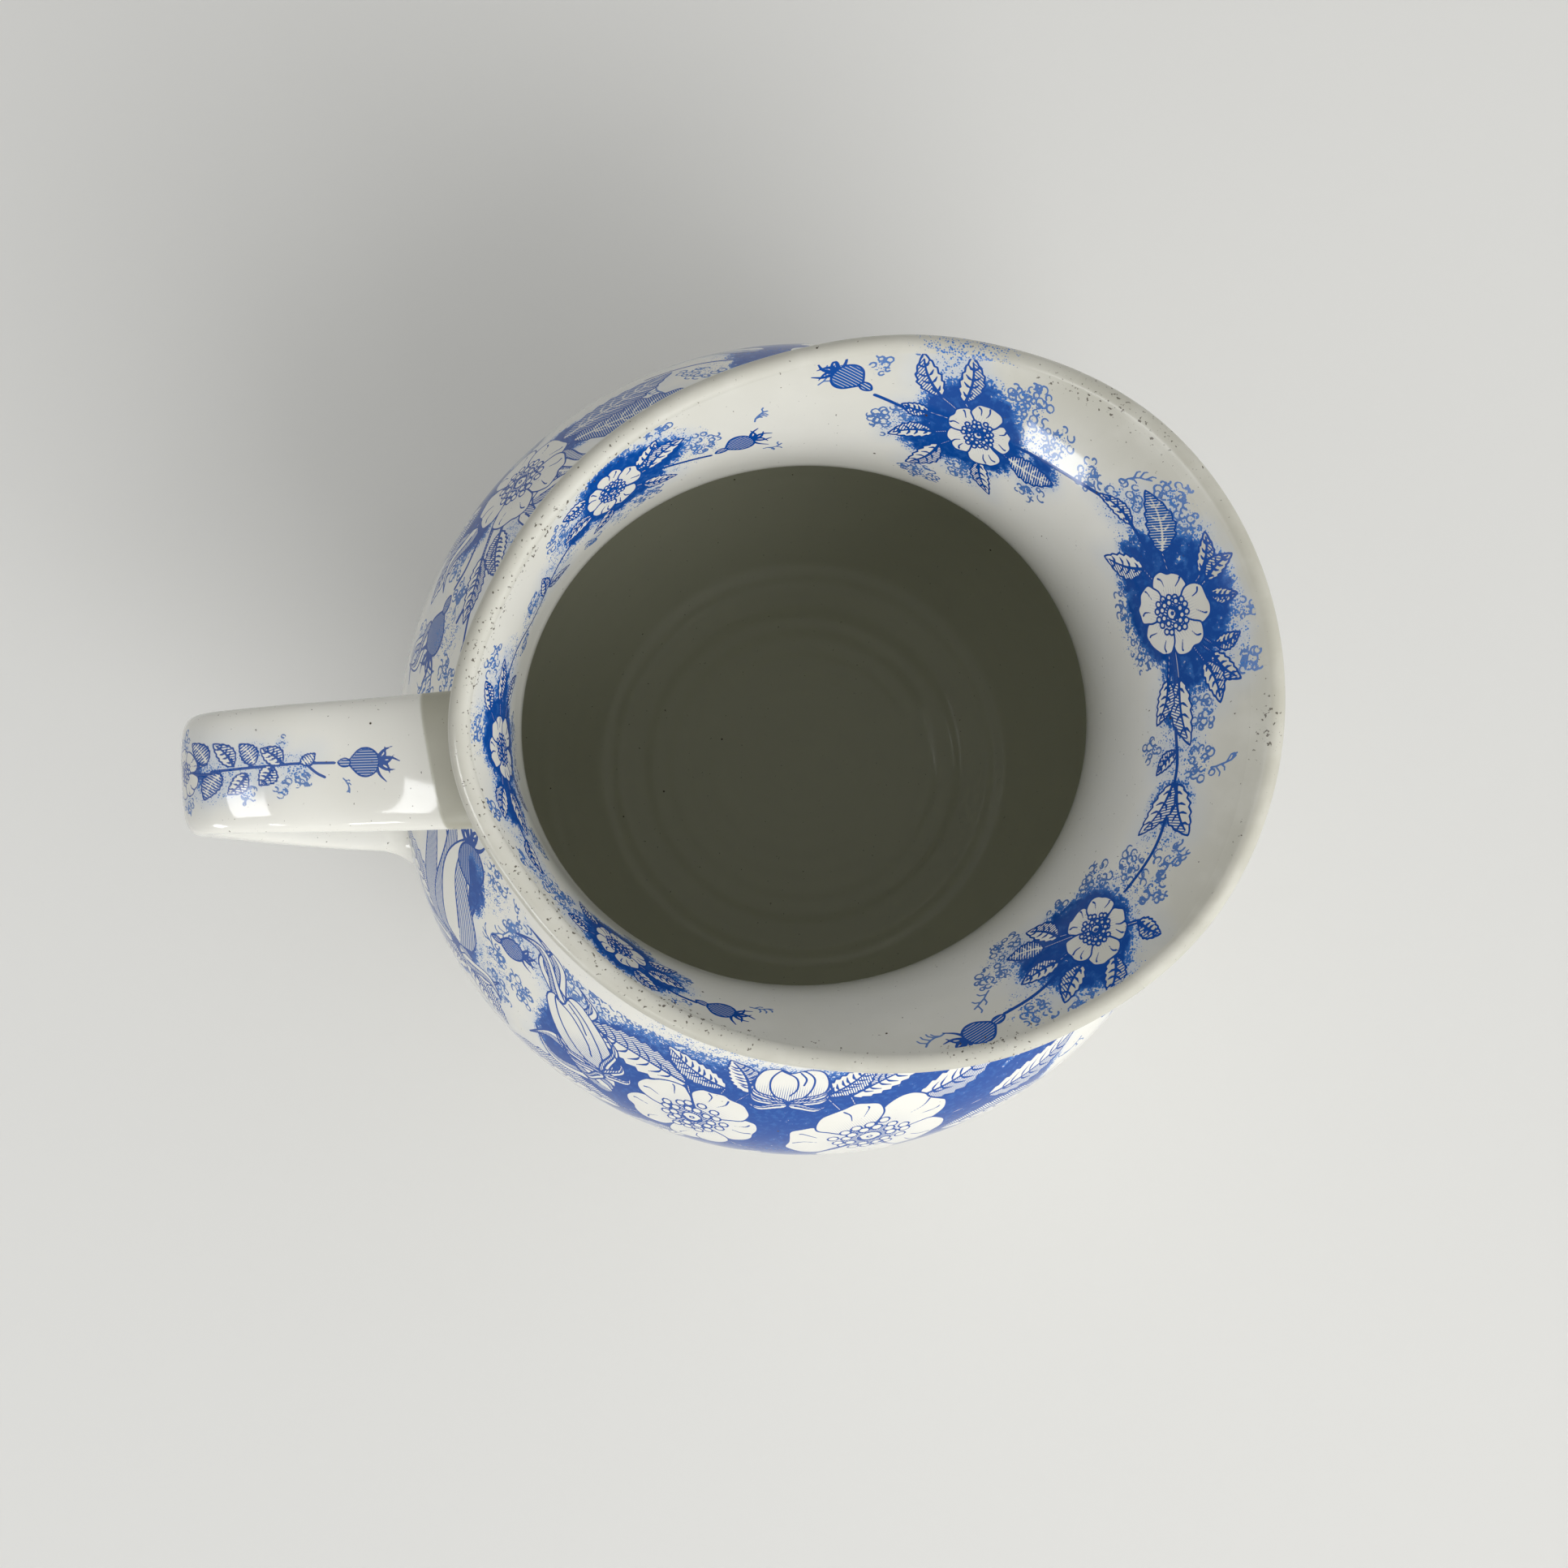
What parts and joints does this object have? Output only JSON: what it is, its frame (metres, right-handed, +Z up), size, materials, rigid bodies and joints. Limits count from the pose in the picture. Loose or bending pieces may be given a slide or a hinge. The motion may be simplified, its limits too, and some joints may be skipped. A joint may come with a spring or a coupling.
{
  "type": "wash jug",
  "caption": "Round-bellied earthenware wash jug on a foot ring, with an oval throat, a broad raised pouring lip and a flat strap handle.",
  "frame": {"origin": "centre of the part's bounding box in plan, at the plane of the foot ring's rest face", "axes": "+Z up along the jug's axis, +X towards the pouring lip, handle towards -X"},
  "size_m": [0.2626, 0.224, 0.2679],
  "materials": {
    "glazed_body": "glossy lead-type glaze over white earthenware, with a blue underglaze flower print",
    "glazed_handle": "glossy lead-type glaze over white earthenware, with a small blue underglaze sprig"
  },
  "bodies": {
    "root": {"foot_ring": "glazed_body", "belly": "glazed_body", "neck_and_lip": "glazed_body", "handle": "glazed_handle", "upper_slip_bead": "glazed_handle", "lower_slip_bead": "glazed_handle"}
  },
  "joints": []
}
